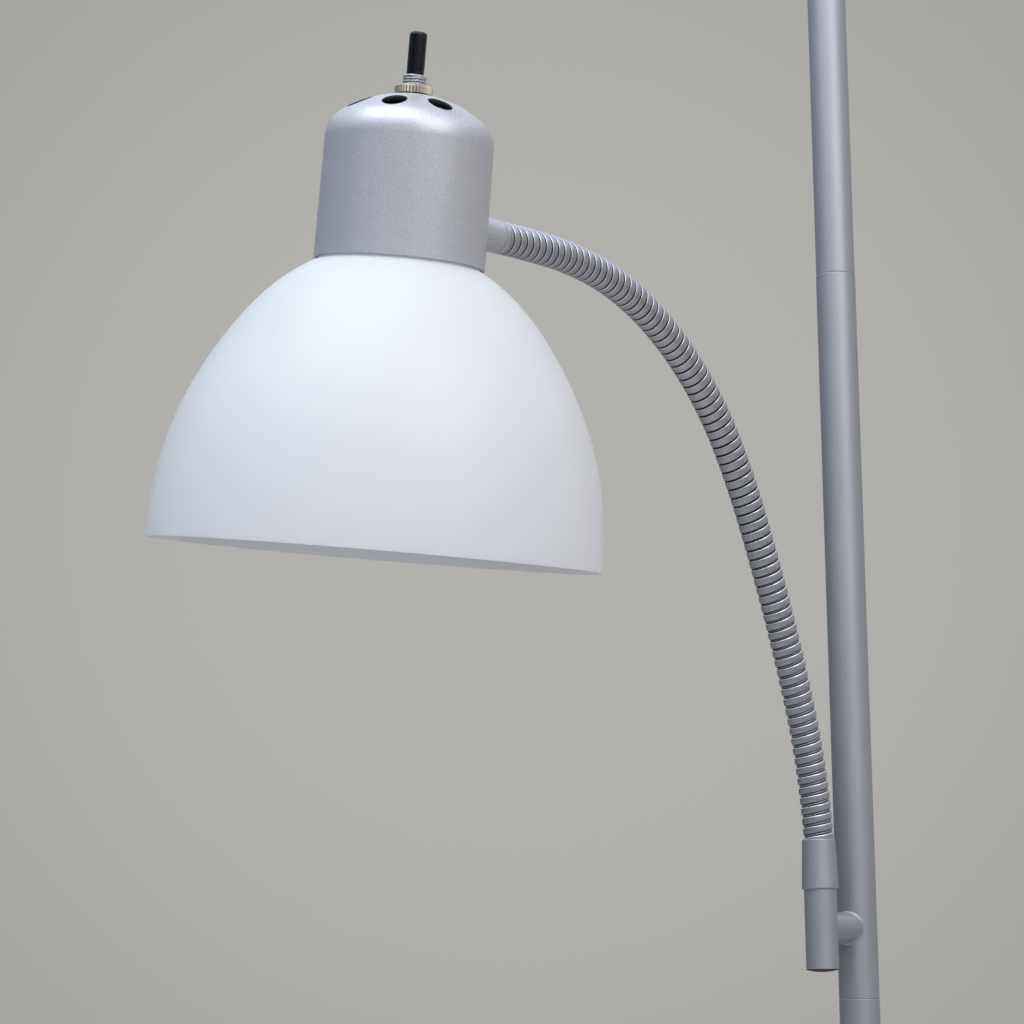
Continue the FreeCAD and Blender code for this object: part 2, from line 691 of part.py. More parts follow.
def screw_shell():
    mouth = SOCKET_SHOULDER - SHADE_SEAT_DEPTH - SHELL_SETBACK
    outer = SHELL_OUTER / 2
    return ring(outer, outer - SHELL_WALL, mouth - SHELL_LENGTH, mouth)


def centre_contact():
    foot = SOCKET_SHOULDER - SHADE_SEAT_DEPTH - SOCKET_BORE_DEPTH
    return disc(CONTACT_DIAMETER / 2, foot, foot + CONTACT_HEIGHT)


def bulb():
    """Bulb seated on the centre contact: screw cap, neck and round end."""
    foot = SOCKET_SHOULDER - SHADE_SEAT_DEPTH - SOCKET_BORE_DEPTH + CONTACT_HEIGHT
    cap_top = foot + BULB_CAP_LENGTH
    top = foot + BULB_LENGTH
    radius = BULB_DIAMETER / 2
    centre = top - radius
    neck = BULB_NECK_DIAMETER / 2
    tip = CONTACT_DIAMETER / 2
    screw = BULB_CAP_DIAMETER / 2
    tip_top = foot + BULB_TIP_TAPER
    neck_foot = cap_top + BULB_NECK_TAPER
    edges = polyline(((0, top), (0, foot), (tip, foot), (screw, tip_top)))
    edges += polyline(((screw, tip_top), (screw, cap_top), (neck, neck_foot)))
    shoulder_tilt = math.radians(BULB_SHOULDER_ANGLE)
    shoulder = vector(radius * math.cos(shoulder_tilt), 0, centre - radius * math.sin(shoulder_tilt))
    start = vector(neck, 0, neck_foot)
    waist = (start + shoulder) * 0.5 + vector(-BULB_WAIST, 0, BULB_WAIST / 2)
    edges.append(Part.Arc(start, waist, shoulder).toShape())
    edges.append(Part.Arc(shoulder, vector(radius, 0, centre), vector(0, 0, top)).toShape())
    return revolved(edges)


# ---------------------------------------------------------------- shades
# Made on Z pointing from the cap's mouth to the open rim, height 0 at the mouth.

def offset_inwards(curve, wall, count):
    """Points at a wall's thickness inside a curve of (radius, height)."""
    points = []
    for step in range(count):
        parameter = curve.FirstParameter + (curve.LastParameter - curve.FirstParameter) * step / (count - 1)
        point = curve.value(parameter)
        tangent = curve.tangent(parameter)[0]
        inwards = vector(-tangent.z, 0, tangent.x)
        points.append(point + inwards * wall)
    return points


def bell_outline(shares, rim_diameter, depth):
    """Radius and height of an outline's points."""
    spread = rim_diameter / 2 - SHADE_NECK_RADIUS
    return [(SHADE_NECK_RADIUS + across * spread, down * depth) for across, down in shares]


def bell(outline, wall):
    """Thin bell: a flat seat with its hole, a short neck and a curved skirt."""
    curve = Part.BSplineCurve()
    curve.interpolate([vector(r, 0, z) for r, z in outline])
    inner_points = offset_inwards(curve, wall, len(outline))
    inner = Part.BSplineCurve()
    inner.interpolate(inner_points)
    hole = SOCKET_DIAMETER / 2 + LOOSE_CLEARANCE
    seat = -SHADE_SEAT_DEPTH
    first = outline[0]
    neck = SHADE_NECK_RADIUS
    inside = inner_points[0]
    edges = polyline(((hole, seat), (neck, seat), (neck, seat + SHADE_NECK_LIP), first))
    edges.append(curve.toShape())
    edges.append(Part.LineSegment(curve.value(curve.LastParameter), inner_points[-1]).toShape())
    edges.append(inner.toShape())
    inner_seat = seat + wall
    inner_neck = neck - wall - SHADE_NECK_TAPER
    edges += polyline(((inside.x, inside.z), (inner_neck, inner_seat), (hole, inner_seat), (hole, seat)))
    return revolved(edges)


def reading_bell():
    return bell(bell_outline(SHADE_OUTLINE, SHADE_RIM_DIAMETER, SHADE_DEPTH), SHADE_WALL)


def torchiere_bell():
    return bell(bell_outline(BOWL_OUTLINE, BOWL_RIM_DIAMETER, BOWL_DEPTH), BOWL_WALL)


def clamp_ring(wall):
    foot = wall - SHADE_SEAT_DEPTH + SEAT_CLEARANCE
    bore = SOCKET_DIAMETER / 2 + SEAT_CLEARANCE
    return ring(CLAMP_RING_DIAMETER / 2, bore, foot, foot + CLAMP_RING_THICKNESS)


# ---------------------------------------------------------------- reading light

def head_placement():
    """Cap's mouth centre: its own Z is the cap's axis, its own X points to the arm."""
    x, z, tilt = link_starts()[-1]
    outwards = vector(-math.sin(tilt), 0, math.cos(tilt))
    reach = NECK_EXPOSED + cap_radius_at(NECK_HEIGHT)
    pitch = FreeCAD.Rotation(vector(0, 1, 0), 90 - math.degrees(tilt))
    rotation = pitch.multiply(FreeCAD.Rotation(vector(1, 0, 0), HEAD_ROLL))
    on_axis = vector(x, 0, z) + outwards * reach
    return FreeCAD.Placement(on_axis - rotation.multVec(vector(0, 0, NECK_HEIGHT)), rotation)


def neck_tube():
    outer = cap_radius_at(NECK_HEIGHT)
    start = vector(outer - CAP_WALL - NECK_INSIDE, 0, NECK_HEIGHT)
    length = NECK_EXPOSED + CAP_WALL + NECK_INSIDE - LINK_GAP / 2
    along = vector(1, 0, 0)
    tube = bar(NECK_DIAMETER / 2, start, along, length)
    return tube.cut(bar(NECK_DIAMETER / 2 - NECK_WALL, start - along, along, length + 2))


def neck_nut():
    """Nut that draws the neck against the inside of the cap."""
    seat = math.sqrt((cap_radius_at(NECK_HEIGHT) - CAP_WALL) ** 2 - (NECK_NUT_DIAMETER / 2) ** 2)
    nut = hexagon_nut(NECK_NUT_DIAMETER, NECK_DIAMETER + 2 * SEAT_CLEARANCE, 0, NECK_NUT_THICKNESS)
    sideways = FreeCAD.Rotation(vector(0, 1, 0), 90)
    at_wall = vector(seat - FACE_CLEARANCE / 2 - NECK_NUT_THICKNESS, 0, NECK_HEIGHT)
    return placed(nut, FreeCAD.Placement(at_wall, sideways))


def reading_hanger():
    """Hollow nipple between the switch body and the lampholder."""
    top = CAP_HEIGHT - crown_wall() - SWITCH_BODY_LENGTH
    return ring(HANGER_DIAMETER / 2, HANGER_BORE / 2, lampholder_back(), top)


def reading_parts():
    """Sub-parts of the reading light, cap's mouth down at height 0."""
    mouth_down = FreeCAD.Placement(vector(0, 0, 0), FreeCAD.Rotation(vector(1, 0, 0), 180))
    crown = FreeCAD.Placement(vector(0, 0, CAP_HEIGHT), FreeCAD.Rotation())
    neck_hole = bar(
        NECK_DIAMETER / 2 + SEAT_CLEARANCE,
        vector(SOCKET_DIAMETER / 2, 0, NECK_HEIGHT),
        vector(1, 0, 0),
        CAP_MOUTH_DIAMETER,
    )
    wall = crown_wall()
    return {
        "reading_cap": pressed_cap().cut(neck_hole),
        "neck_tube": neck_tube(),
        "neck_nut": neck_nut(),
        "reading_hanger": reading_hanger(),
        "reading_socket": placed(lampholder(), mouth_down),
        "reading_screw_shell": placed(screw_shell(), mouth_down),
        "reading_contact": placed(centre_contact(), mouth_down),
        "reading_bulb": placed(bulb(), mouth_down),
        "reading_shade": placed(reading_bell(), mouth_down),
        "reading_shade_ring": placed(clamp_ring(SHADE_WALL), mouth_down),
        "reading_switch_body": placed(switch_body(wall), crown),
        "reading_switch_bushing": placed(switch_bushing(wall), crown),
        "reading_switch_nut": placed(switch_nut(), crown),
        "reading_switch_knob": placed(switch_knob(wall), crown),
    }


# ---------------------------------------------------------------- torchiere

def torchiere_stud():
    """Hollow stud from the pole's top insert up to the lampholder."""
    foot = POLE_TOP - INSERT_LENGTH + STUD_SETBACK
    top = POLE_TOP + CAP_HEIGHT - lampholder_back()
    return ring(TORCHIERE_STUD_DIAMETER / 2, TORCHIERE_STUD_BORE / 2, foot, top)


def torchiere_nuts():
    bore = TORCHIERE_STUD_DIAMETER + 2 * SEAT_CLEARANCE
    inner_dome = CAP_DOME_RADIUS - CAP_WALL
    rise = inner_dome - math.sqrt(inner_dome ** 2 - (TORCHIERE_NUT_DIAMETER / 2) ** 2)
    lower = POLE_TOP + CAP_WALL + rise + SEAT_CLEARANCE
    upper = POLE_TOP + CAP_HEIGHT - lampholder_back() - TORCHIERE_NUT_THICKNESS
    nuts = [hexagon_nut(TORCHIERE_NUT_DIAMETER, bore, z, TORCHIERE_NUT_THICKNESS) for z in (lower, upper)]
    return Part.makeCompound(nuts)


def torchiere_parts():
    """Sub-parts of the torchiere, in the lamp's own frame."""
    mouth = FreeCAD.Placement(vector(0, 0, POLE_TOP + CAP_HEIGHT), FreeCAD.Rotation())
    mouth_up = FreeCAD.Placement(vector(0, 0, POLE_TOP + CAP_HEIGHT), FreeCAD.Rotation(vector(1, 0, 0), 180))
    side = cap_radius_at(CAP_HEIGHT - TORCHIERE_SWITCH_HEIGHT)
    switch = FreeCAD.Placement(
        vector(0, -side - SEAT_CLEARANCE, POLE_TOP + TORCHIERE_SWITCH_HEIGHT),
        FreeCAD.Rotation(vector(1, 0, 0), 90),
    )
    switch_hole = bar(
        BUSHING_DIAMETER / 2 + LOOSE_CLEARANCE,
        vector(0, -SOCKET_DIAMETER / 2, POLE_TOP + TORCHIERE_SWITCH_HEIGHT),
        vector(0, -1, 0),
        CAP_MOUTH_DIAMETER / 2,
    )
    inner = side - CAP_WALL
    wall = side - math.sqrt(inner ** 2 - (SWITCH_BODY_DIAMETER / 2) ** 2) + FACE_CLEARANCE
    return {
        "torchiere_cap": placed(pressed_cap(), mouth_up).cut(switch_hole),
        "torchiere_stud": torchiere_stud(),
        "torchiere_nuts": torchiere_nuts(),
        "torchiere_socket": placed(lampholder(), mouth),
        "torchiere_screw_shell": placed(screw_shell(), mouth),
        "torchiere_contact": placed(centre_contact(), mouth),
        "torchiere_bulb": placed(bulb(), mouth),
        "torchiere_bowl": placed(torchiere_bell(), mouth),
        "torchiere_bowl_ring": placed(clamp_ring(BOWL_WALL), mouth),
        "torchiere_switch_body": placed(switch_body(wall), switch),
        "torchiere_switch_bushing": placed(switch_bushing(wall), switch),
        "torchiere_switch_nut": placed(switch_nut(), switch),
        "torchiere_switch_knob": placed(switch_knob(wall), switch),
    }


# ---------------------------------------------------------------- leads

def torchiere_lead():
    foot = PAD_THICKNESS + STUD_SETBACK
    top = POLE_TOP - INSERT_LENGTH - FACE_CLEARANCE
    lead = disc(LEAD_DIAMETER / 2, foot, top)
    lead.translate(vector(0, LEAD_OFFSET, 0))
    return lead


def reading_lead():
    """Lead up the pole, through the cross stub and up the receiver into the arm."""
    side = -LEAD_OFFSET
    bend = LEAD_BEND_RADIUS
    corner = bend * (1 - math.sqrt(0.5))
    pole_x = 0.0
    arm_x = -RECEIVER_REACH
    foot = PAD_THICKNESS + STUD_SETBACK
    top = COLLAR_TOP_Z - FACE_CLEARANCE
    path = [
        Part.LineSegment(vector(pole_x, side, foot), vector(pole_x, side, STUB_Z - bend)).toShape(),
        Part.Arc(
            vector(pole_x, side, STUB_Z - bend),
            vector(pole_x - corner, side, STUB_Z - corner),
            vector(pole_x - bend, side, STUB_Z),
        ).toShape(),
        Part.LineSegment(vector(pole_x - bend, side, STUB_Z), vector(arm_x + bend, side, STUB_Z)).toShape(),
        Part.Arc(
            vector(arm_x + bend, side, STUB_Z),
            vector(arm_x + corner, side, STUB_Z + corner),
            vector(arm_x, side, STUB_Z + bend),
        ).toShape(),
        Part.LineSegment(vector(arm_x, side, STUB_Z + bend), vector(arm_x, side, top)).toShape(),
    ]
    section = Part.Wire(Part.makeCircle(LEAD_DIAMETER / 2, vector(pole_x, side, foot), POLE_AXIS))
    return Part.Wire(path).makePipeShell([section], True, False)


# ---------------------------------------------------------------- assembly

def build():
    """Every sub-part in the lamp's own frame, by its node's name."""
    nodes = {
        "base_cover": foot_cover(),
        "base_weight": foot_weight(),
        "base_pad": foot_pad(),
        "base_spacer": foot_spacer(),
        "base_collar": foot_collar(),
        "base_stud": foot_stud(),
        "base_washer": foot_washer(),
        "base_nut": foot_nut(),
        "cord_inlet": cord_inlet(),
        "pole_inserts": pole_inserts(),
        "pole_studs": pole_studs(),
        "cross_stub": cross_stub(),
        "receiver_tube": receiver_tube(),
        "receiver_plug": receiver_plug(),
        "arm_spigot": arm_spigot(),
        "arm_collar": arm_collar(),
        "inner_leads": Part.makeCompound([torchiere_lead(), reading_lead()]),
    }
    for index in range(len(SECTION_LENGTHS)):
        nodes["pole_section_%d" % (index + 1)] = pole_section(index)
    starts = link_starts()
    for index, turn in enumerate(LINK_TURNS):
        nodes["arm_link_%02d" % (index + 1)] = arm_link(starts[index], math.radians(turn))
    head = head_placement()
    for name, shape in reading_parts().items():
        nodes[name] = placed(shape, head)
    nodes.update(torchiere_parts())
    return nodes


def main():
    os.makedirs("parts", exist_ok=True)
    for name, shape in build().items():
        shape.exportStep("parts/%s.step" % name)
        print(name, len(shape.Solids), round(shape.Volume, 1), shape.isValid())
    for index, (x, z, tilt) in enumerate(link_starts()):
        print("arm place", index, round(x, 3), round(z, 3), round(math.degrees(tilt), 2))
    print("head", head_placement())


main()
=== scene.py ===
import json
import math

import bpy
from mathutils import Matrix, Vector


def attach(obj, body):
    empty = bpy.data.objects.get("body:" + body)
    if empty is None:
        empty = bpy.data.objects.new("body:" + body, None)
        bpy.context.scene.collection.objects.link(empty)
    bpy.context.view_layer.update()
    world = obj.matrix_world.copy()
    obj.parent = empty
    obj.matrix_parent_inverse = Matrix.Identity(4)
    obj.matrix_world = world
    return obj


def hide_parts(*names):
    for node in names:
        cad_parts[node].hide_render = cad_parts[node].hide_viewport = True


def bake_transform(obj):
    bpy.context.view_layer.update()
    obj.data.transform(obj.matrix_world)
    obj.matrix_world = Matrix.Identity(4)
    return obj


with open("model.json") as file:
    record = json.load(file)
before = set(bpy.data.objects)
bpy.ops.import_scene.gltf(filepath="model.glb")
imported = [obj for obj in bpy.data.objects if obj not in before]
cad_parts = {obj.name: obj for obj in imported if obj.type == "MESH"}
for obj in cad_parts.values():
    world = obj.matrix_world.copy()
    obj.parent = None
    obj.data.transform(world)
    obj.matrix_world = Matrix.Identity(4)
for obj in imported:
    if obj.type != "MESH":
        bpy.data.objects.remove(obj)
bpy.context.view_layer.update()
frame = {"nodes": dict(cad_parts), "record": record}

# ---------------------------------------------------------------- named sizes, metres and degrees

# Camera: level distance from the pole, eye height and aim, as the photograph was taken
CAMERA_AZIMUTH = -52.5
CAMERA_DISTANCE = 1.511
CAMERA_SIDE = 0.1597
EYE_HEIGHT = 0.8156
CAMERA_PITCH = 9.4
CAMERA_ROLL = -0.91
LENS_MM = 111.65
SENSOR_MM = 36.0
CLIP_START = 0.05
CLIP_END = 30.0

# Flexible arm, as in the construction: links that turn evenly, one after the other
ARM_START = Vector((-0.03145, 0.0, 0.9045))
ARM_START_TILT = 4.9
LINK_TURNS = (7.2, 6.9, 3.1, 2.5, 2.65, 6.85, 12.0, 11.45, 11.95, 12.0, 8.5, 2.2)
LINK_LENGTH = 0.031605
ARM_RADIUS = 0.0070
GROOVE_RADIUS = 0.0061

# Its winding: ribs that stand open at the foot and close up further along
OPEN_RIBS = 18
OPEN_PITCH = 0.00478
CLOSE_PITCH = 0.00441
OPEN_GROOVE = 0.150
CLOSE_GROOVE = 0.088
OPEN_UNTIL = 0.060
CLOSED_FROM = 0.170
CLOSE_DEPTH = 0.58
FOOT_OVERLAP = 0.0006
TIP_OVERLAP = 0.0047
ROWS_PER_RIB = 14
SIDES = 48

# Cuff that ends the winding on the neck: its outline is in shares of its thickness and half length
CUFF_RADIUS = 0.00695
CUFF_LENGTH = 0.0019
CUFF_SHIFT = 0.0044
CUFF_OUTLINE = (
    (0.0, -1.0),
    (0.6, -1.0),
    (0.9, -0.86),
    (1.0, -0.6),
    (1.0, 0.6),
    (0.9, 0.86),
    (0.6, 1.0),
    (0.0, 1.0),
)
NECK_SIDES = 96

# Tapered sleeve over the neck, from inside the cuff into the cap's wall
SLEEVE_TIP_RADIUS = 0.00695
SLEEVE_CAP_RADIUS = 0.00780
SLEEVE_BORE = 0.00662
SLEEVE_END = 0.0325
SLEEVE_STEPS = 12
SLEEVE_LEAD_IN = 0.0001

# Reading light: place of its cap's mouth, and the pressed cap's form
HEAD_PLACE = Vector((-0.330595, 0.003167, 1.124703))
HEAD_PITCH = -2.2
HEAD_ROLL = 8.8
CAP_HEIGHT = 0.0694
CAP_DOME_RADIUS = 0.0499
VENT_COUNT = 8
VENT_RING_RADIUS = 0.02385
VENT_SIDES = 64
# Outlines round a vent, as (distance from its middle, height above the dome)
# Black sleeve down a vent's wall: painted shade for the dark inside seen through the hole.
VENT_SHADE_SLEEVE = (
    (0.00492, -0.0024),
    (0.00492, -0.00005),
    (0.00496, 0.000035),
    (0.00506, 0.000035),
    (0.00510, -0.00010),
    (0.00508, -0.00040),
    (0.00504, -0.0024),
)
VENT_RIM = (
    (0.00507, -0.00010),
    (0.00510, 0.00006),
    (0.00517, 0.00011),
    (0.00528, 0.00006),
    (0.00536, -0.00010),
)
POLE_TOP = 1.580

# Welds of the cross stub
STUB_HEIGHT = 0.864
STUB_RADIUS = 0.00715
POLE_RADIUS = 0.0095
RECEIVER_RADIUS = 0.0076
RECEIVER_REACH = 0.03145
POLE_FILLET = 0.0011
RECEIVER_FILLET = 0.0007
WELD_SIDES = 112
WELD_STEPS = 9
WELD_SKIN = 0.00006
WELD_SINK = 0.0006
WELD_KNEE = 0.12
WELD_WIDEST = 0.995
# Unevenness of a weld's reach, as (waves round it, phase, share of the reach)
WELD_WAVES = ((3, 0.7, 0.08), (7, 0.0, 0.05))

# How far into a groove painted shade reaches on bright metal, and how dark the painted shade is
GROOVE_SHADE_REACH = 0.0006
GROOVE_SHADE_SHARE = 0.22

# Stage: size and display colour of the floor
STAGE_SIZE = 30.0
FLOOR_COLOUR = (240, 234, 222)

# Surroundings: display colours of the backdrop, away from the camera's aim and straight along it
BACKDROP_EDGE = (168, 166, 162)
BACKDROP_MIDDLE = (179, 177, 173)
BACKDROP_SPREAD = (0.974, 1.0)
# What lies to the left, by the share of the direction that points right
LEFT_SPREAD = (-0.55, -0.18)
LEFT_COLOUR = (0.060, 0.068, 0.082, 1.0)
# The same as metal shows it: darker low down, by the share of the direction that points up
LEFT_RISE = (0.08, 0.36)
LEFT_LOW = (0.008, 0.010, 0.015, 1.0)
LEFT_HIGH = (0.240, 0.270, 0.330, 1.0)
# Sky that metal shows, by the share of the direction that points up
SKY_RISE = (0.37, 0.66)
SKY_COLOUR = (1.00, 1.05, 1.25, 1.0)
# How strongly the surroundings light dull surfaces
DULL_TINT = (0.82, 0.87, 1.05)

# Lamps: name, aim, place from there as (forward, right, up), size, watts, colour and whether gloss shows it
POLE_AIM = Vector((0.0, 0.0, 1.15))
HEAD_AIM = Vector((-0.33, 0.0, 1.1))
LAMPS = (
    ("key_right", POLE_AIM, (-0.95, 0.45, 0.62), (0.9, 0.9), 5.5, (1.0, 0.94, 0.92), True),
    ("sky_above", HEAD_AIM, (-0.35, -0.25, 1.0), (1.0, 0.8), 6.7, (0.89, 1.0, 0.97), True),
    ("fill_left", HEAD_AIM, (-0.75, -0.55, 0.1), (0.8, 0.8), 4.2, (0.82, 0.87, 1.0), False),
    ("lift_low", HEAD_AIM, (-0.65, 0.75, -0.30), (0.8, 0.8), 2.2, (0.86, 0.91, 1.0), False),
)


# ---------------------------------------------------------------- materials

def srgb(red, green, blue):
    """A display colour, 0 to 255, as the scene's linear colour."""
    def linear(value):
        share = value / 255
        return share / 12.92 if share <= 0.04045 else ((share + 0.055) / 1.055) ** 2.4

    return (linear(red), linear(green), linear(blue), 1.0)


class Finish:
    """A node material being built: its shader, coordinates and small helpers."""

    def __init__(self, name):
        self.material = bpy.data.materials.new(name)
        self.material.use_nodes = True
        self.tree = self.material.node_tree
        self.shader = self.tree.nodes["Principled BSDF"]
        self.coordinates = self.node("ShaderNodeTexCoord").outputs["Object"]

    def node(self, kind, **values):
        """A new node with its properties set."""
        made = self.tree.nodes.new(kind)
        for key, value in values.items():
            setattr(made, key, value)
        return made

    def link(self, source, target):
        self.tree.links.new(source, target)

    def set(self, **values):
        """Shader inputs by name, with underscores for spaces."""
        for key, value in values.items():
            self.shader.inputs[key.replace("_", " ")].default_value = value

    def noise(self, scale, detail, roughness, stretch=None):
        """Noise in the object's own coordinates, stretched where that is given."""
        texture = self.node("ShaderNodeTexNoise")
        texture.inputs["Scale"].default_value = scale
        texture.inputs["Detail"].default_value = detail
        texture.inputs["Roughness"].default_value = roughness
        source = self.coordinates
        if stretch is not None:
            mapping = self.node("ShaderNodeMapping")
            mapping.inputs["Scale"].default_value = stretch
            self.link(source, mapping.inputs["Vector"])
            source = mapping.outputs["Vector"]
        self.link(source, texture.inputs["Vector"])
        return texture.outputs["Fac"]

    def ramp(self, source, stops):
        """Colour ramp with (place, colour) stops."""
        ramp = self.node("ShaderNodeValToRGB")
        elements = ramp.color_ramp.elements
        while len(elements) < len(stops):
            elements.new(0.5)
        for element, (place, colour) in zip(elements, stops):
            element.position = place
            element.color = colour
        self.link(source, ramp.inputs["Fac"])
        return ramp.outputs["Color"]

    def grey_ramp(self, source, low, high, start=0.3, end=0.7):
        """A value that runs from low to high while the source runs from start to end."""
        return self.ramp(source, ((start, (low, low, low, 1)), (end, (high, high, high, 1))))

    def mix(self, factor, first, second):
        """Colour between two, each a socket or a value."""
        mix = self.node("ShaderNodeMix", data_type="RGBA")
        for socket, value in ((0, factor), (6, first), (7, second)):
            if hasattr(value, "is_output"):
                self.link(value, mix.inputs[socket])
            else:
                mix.inputs[socket].default_value = value
        return mix.outputs[2]

    def bump(self, height, strength, distance):
        """Bump of the shader's surface."""
        bump = self.node("ShaderNodeBump")
        bump.inputs["Strength"].default_value = strength
        bump.inputs["Distance"].default_value = distance
        self.link(height, bump.inputs["Height"])
        self.link(bump.outputs["Normal"], self.shader.inputs["Normal"])


def silver_paint(name, dark, light, peel, roughness, metal):
    """Silver metallic paint: mottled flake, slight orange peel, satin gloss."""
    finish = Finish(name)
    finish.set(Metallic=metal, IOR=1.5, Coat_Weight=0.05, Coat_Roughness=0.4)
    flake = finish.noise(1500.0, 3.0, 0.75)
    cloud = finish.noise(38.0, 4.0, 0.6)
    base = finish.mix(finish.grey_ramp(flake, 0.0, 1.0, 0.36, 0.64), dark, light)
    toned = finish.mix(finish.grey_ramp(cloud, 0.0, 0.35), base, light)
    finish.link(toned, finish.shader.inputs["Base Color"])
    finish.link(finish.grey_ramp(flake, roughness, roughness + 0.08), finish.shader.inputs["Roughness"])
    finish.bump(finish.noise(1300.0, 3.0, 0.6), peel, 0.0004)
    return finish.material


def groove_paint():
    """The flexible arm: silver ribs with a painted highlight along their upper edges and painted shade in the
    winding's grooves.
    """
    finish = Finish("ribbed_silver")
    finish.set(Metallic=0.80, IOR=1.5)
    crest = finish.node("ShaderNodeAttribute", attribute_name="crest").outputs["Fac"]
    edge = finish.node("ShaderNodeAttribute", attribute_name="edge").outputs["Fac"]
    flake = finish.noise(2600.0, 2.0, 0.7)
    paint = finish.mix(flake, srgb(172, 175, 183), srgb(194, 197, 205))
    # Painted highlight: the ribs' upper edges run to near white by the edge value.
    edge_highlight = finish.mix(edge, paint, srgb(236, 238, 243))
    # Painted shade: the colour runs to near black down into the grooves by the crest value.
    finish.link(finish.mix(crest, srgb(34, 36, 42), edge_highlight), finish.shader.inputs["Base Color"])
    finish.link(finish.grey_ramp(crest, 0.60, 0.33, 0.1, 0.9), finish.shader.inputs["Roughness"])
    finish.bump(finish.noise(1400.0, 2.0, 0.5), 0.08, 0.0003)
    return finish.material


def opal_plastic():
    """Smooth opal shade: cool white, slightly see-through, faint moulding cloud."""
    finish = Finish("opal_shade")
    finish.set(Roughness=0.42, IOR=1.46, Subsurface_Weight=0.72, Subsurface_Scale=0.010)
    finish.shader.inputs["Subsurface Radius"].default_value = (1.0, 1.0, 1.0)
    cloud = finish.noise(14.0, 3.0, 0.5)
    tone = finish.mix(cloud, srgb(240, 247, 254), srgb(246, 250, 255))
    finish.link(tone, finish.shader.inputs["Base Color"])
    finish.link(finish.grey_ramp(cloud, 0.40, 0.46), finish.shader.inputs["Roughness"])
    finish.bump(finish.noise(160.0, 2.0, 0.5), 0.03, 0.0006)
    return finish.material


def gloss_black():
    """Black moulded knob, with faint fine scratches."""
    finish = Finish("black_gloss")
    finish.set(IOR=1.38, Coat_Weight=0.08, Coat_Roughness=0.10)
    scratch = finish.noise(1500.0, 3.0, 0.6, (1.0, 1.0, 0.08))
    finish.link(finish.mix(scratch, srgb(7, 9, 17), srgb(13, 15, 25)), finish.shader.inputs["Base Color"])
    finish.link(finish.grey_ramp(scratch, 0.20, 0.34), finish.shader.inputs["Roughness"])
    finish.bump(scratch, 0.06, 0.0002)
    return finish.material


def matt_black():
    """Dark moulded plastic with a fine grain."""
    finish = Finish("black_plastic")
    finish.set(Roughness=0.55, IOR=1.48)
    grain = finish.noise(2600.0, 3.0, 0.6)
    finish.link(finish.mix(grain, srgb(24, 24, 26), srgb(44, 44, 46)), finish.shader.inputs["Base Color"])
    finish.bump(grain, 0.12, 0.0003)
    return finish.material


def turned_metal(name, dark, light, roughness, streak):
    """Bright machined or plated metal with fine turning streaks, and painted shade where it is sheltered."""
    finish = Finish(name)
    finish.set(Metallic=1.0, IOR=1.5)
    streaks = finish.noise(streak, 3.0, 0.6, (1.0, 1.0, 6.0))
    # Painted shade: where ambient occlusion finds a groove or crevice, the colour runs towards a dark copy of
    # itself.
    occlusion = finish.node("ShaderNodeAmbientOcclusion", samples=8, only_local=True)
    occlusion.inputs["Distance"].default_value = GROOVE_SHADE_REACH
    unshaded = finish.grey_ramp(occlusion.outputs["AO"], 0.0, 1.0, 0.35, 0.85)
    bright = finish.mix(streaks, dark, light)
    painted_shade = tuple(channel * GROOVE_SHADE_SHARE for channel in dark[:3]) + (1.0,)
    finish.link(finish.mix(unshaded, painted_shade, bright), finish.shader.inputs["Base Color"])
    finish.link(finish.grey_ramp(streaks, roughness, roughness + 0.14), finish.shader.inputs["Roughness"])
    finish.bump(streaks, 0.08, 0.0002)
    return finish.material


def cast_iron():
    """Rough cast weight."""
    finish = Finish("cast_weight")
    finish.set(Metallic=0.4, Roughness=0.8)
    grain = finish.noise(420.0, 5.0, 0.7)
    finish.link(finish.mix(grain, srgb(46, 45, 44), srgb(84, 82, 80)), finish.shader.inputs["Base Color"])
    finish.bump(grain, 0.6, 0.0008)
    return finish.material


def felt():
    """Dark pressed felt under the foot."""
    finish = Finish("felt")
    finish.set(Roughness=0.95, Sheen_Weight=0.4, Sheen_Roughness=0.5)
    fibres = finish.noise(1800.0, 5.0, 0.75)
    finish.link(finish.mix(fibres, srgb(22, 22, 23), srgb(52, 52, 54)), finish.shader.inputs["Base Color"])
    finish.bump(fibres, 0.7, 0.0008)
    return finish.material


def frosted_bulb():
    """Frosted white bulb."""
    finish = Finish("opal_bulb")
    finish.set(Roughness=0.42, IOR=1.5, Subsurface_Weight=0.2, Subsurface_Scale=0.003)
    frost = finish.noise(700.0, 3.0, 0.6)
    tone = finish.mix(frost, srgb(226, 226, 222), srgb(238, 238, 235))
    finish.link(tone, finish.shader.inputs["Base Color"])
    finish.bump(frost, 0.08, 0.0003)
    return finish.material


def lead_rubber():
    """Sheath of the leads inside the pole."""
    finish = Finish("lead")
    finish.set(Roughness=0.6)
    grain = finish.noise(900.0, 3.0, 0.6)
    finish.link(finish.mix(grain, srgb(36, 36, 37), srgb(58, 58, 60)), finish.shader.inputs["Base Color"])
    finish.bump(grain, 0.15, 0.0003)
    return finish.material


def stage_paint(name, colour):
    """Floor: plain pale paint with a faint unevenness."""
    finish = Finish(name)
    finish.set(Roughness=0.9)
    cloud = finish.noise(2.0, 2.0, 0.5)
    lighter = tuple(min(1.0, channel * 1.03) for channel in colour[:3]) + (1.0,)
    finish.link(finish.mix(cloud, colour, lighter), finish.shader.inputs["Base Color"])
    return finish.material


